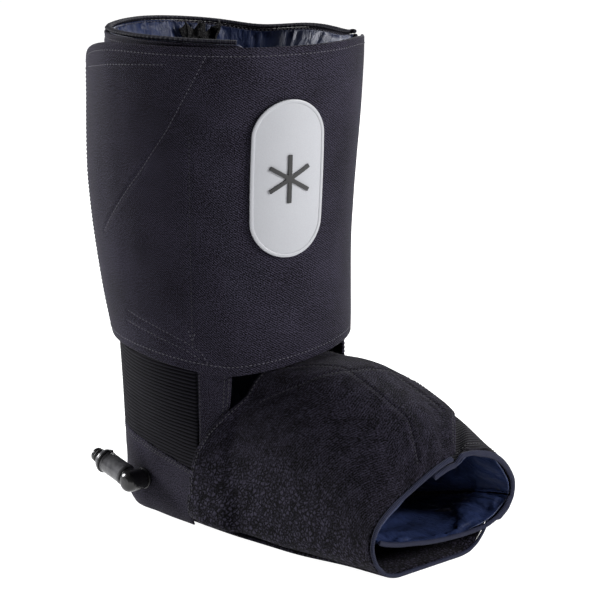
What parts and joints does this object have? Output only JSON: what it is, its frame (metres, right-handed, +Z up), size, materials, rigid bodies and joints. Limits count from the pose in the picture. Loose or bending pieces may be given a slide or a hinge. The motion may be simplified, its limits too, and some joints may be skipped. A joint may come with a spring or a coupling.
{
  "type": "cold compression wrap",
  "caption": "Boot-shaped cold compression wrap for lower leg and foot: padded water chambers, two hook-and-loop flaps, ribbed elastic ankle, swivelling hose coupling.",
  "frame": {"origin": "on the sole's flat underside, directly below the axis of the leg tube", "axes": "+X towards the toe opening, -Y towards the side that the flaps close on, +Z up along the leg tube"},
  "size_m": [0.2575, 0.1663, 0.314],
  "materials": {
    "twill": "near-black twill-woven laminated nylon",
    "loop_fabric": "charcoal loop-pile fabric that hook patches grip",
    "ribbed_mesh": "fine ribbed stretch mesh",
    "ribbed_elastic": "cross-ribbed elastic webbing",
    "lining": "crinkled navy nylon lining with a soft sheen",
    "binding": "slate-blue edge tape",
    "hook": "moulded hook tape",
    "badge_silver": "matt silver moulded badge",
    "badge_black": "black moulded symbol",
    "black_plastic": "glossy black moulded plastic",
    "grey_plastic": "glossy grey moulded plastic",
    "seal": "black sealing rubber",
    "spring_steel": "stainless spring wire"
  },
  "bodies": {
    "boot": {"leg_shell": "twill", "calf_chamber_back": "lining", "rim_binding_back": "binding", "pull_tab": "hook", "ribbed_elastic_panel": "ribbed_elastic", "near_ankle_panel": "twill", "far_ankle_panel": "twill", "heel_cup": "twill", "heel_chamber": "lining", "sole_panel": "loop_fabric", "toe_binding_sole": "binding", "foot_chamber_base": "lining", "port_spigot": "black_plastic", "port_washer": "black_plastic"},
    "closure": {"closure_flap": "twill", "calf_chamber_front": "lining", "closure_hook_patch": "hook", "badge_plate": "badge_silver", "badge_symbol": "badge_black"},
    "wing": {"near_wing": "twill", "calf_chamber_near": "lining", "rim_binding_wing": "binding"},
    "instep": {"instep_flap": "loop_fabric", "instep_chamber": "lining", "instep_hook_patch": "hook", "toe_binding_instep": "binding"},
    "far_wrap": {"far_foot_flap": "ribbed_mesh", "far_foot_chamber": "lining", "toe_binding_far": "binding"},
    "coupling": {"elbow_body": "black_plastic", "swivel_o_ring": "seal", "stem_sleeve": "grey_plastic", "retaining_clip": "black_plastic", "nozzle": "black_plastic", "nozzle_o_ring": "seal", "valve_spring": "spring_steel"},
    "valve": {"valve_poppet": "grey_plastic"}
  },
  "joints": [
    {"name": "closure_open", "type": "hinge", "parent": "boot", "child": "closure", "pos_m": [0.0576, 0.0617, 0.21], "axis": [0, 0, 1], "range_deg": [0, 160]},
    {"name": "wing_open", "type": "hinge", "parent": "boot", "child": "wing", "pos_m": [-0.0711, -0.04105, 0.21], "axis": [0, 0, -1], "range_deg": [0, 57]},
    {"name": "instep_open", "type": "hinge", "parent": "boot", "child": "instep", "pos_m": [0.1, -0.0565, 0.0005], "axis": [1, 0, 0], "range_deg": [0, 36]},
    {"name": "far_wrap_open", "type": "hinge", "parent": "boot", "child": "far_wrap", "pos_m": [0.1, 0.062, 0.0005], "axis": [-1, 0, 0], "range_deg": [0, 17]},
    {"name": "port_swivel", "type": "hinge", "parent": "boot", "child": "coupling", "pos_m": [-0.02971, -0.04897, 0.023], "axis": [-0.0349, -0.9994, 0], "range_deg": [-28, 40]},
    {"name": "valve_press", "type": "slide", "parent": "coupling", "child": "valve", "axis": [0.9607, -0.0335, -0.2756], "range_m": [0, 0.003], "stiffness_N_per_m": 400, "springref_m": -0.002, "deforming": ["valve_spring"]}
  ],
  "couplings": [
    {"joint": "wing_open", "follows": "closure_open", "ratio": 0.35},
    {"joint": "instep_open", "follows": "closure_open", "ratio": 0.22},
    {"joint": "far_wrap_open", "follows": "closure_open", "ratio": 0.1}
  ]
}
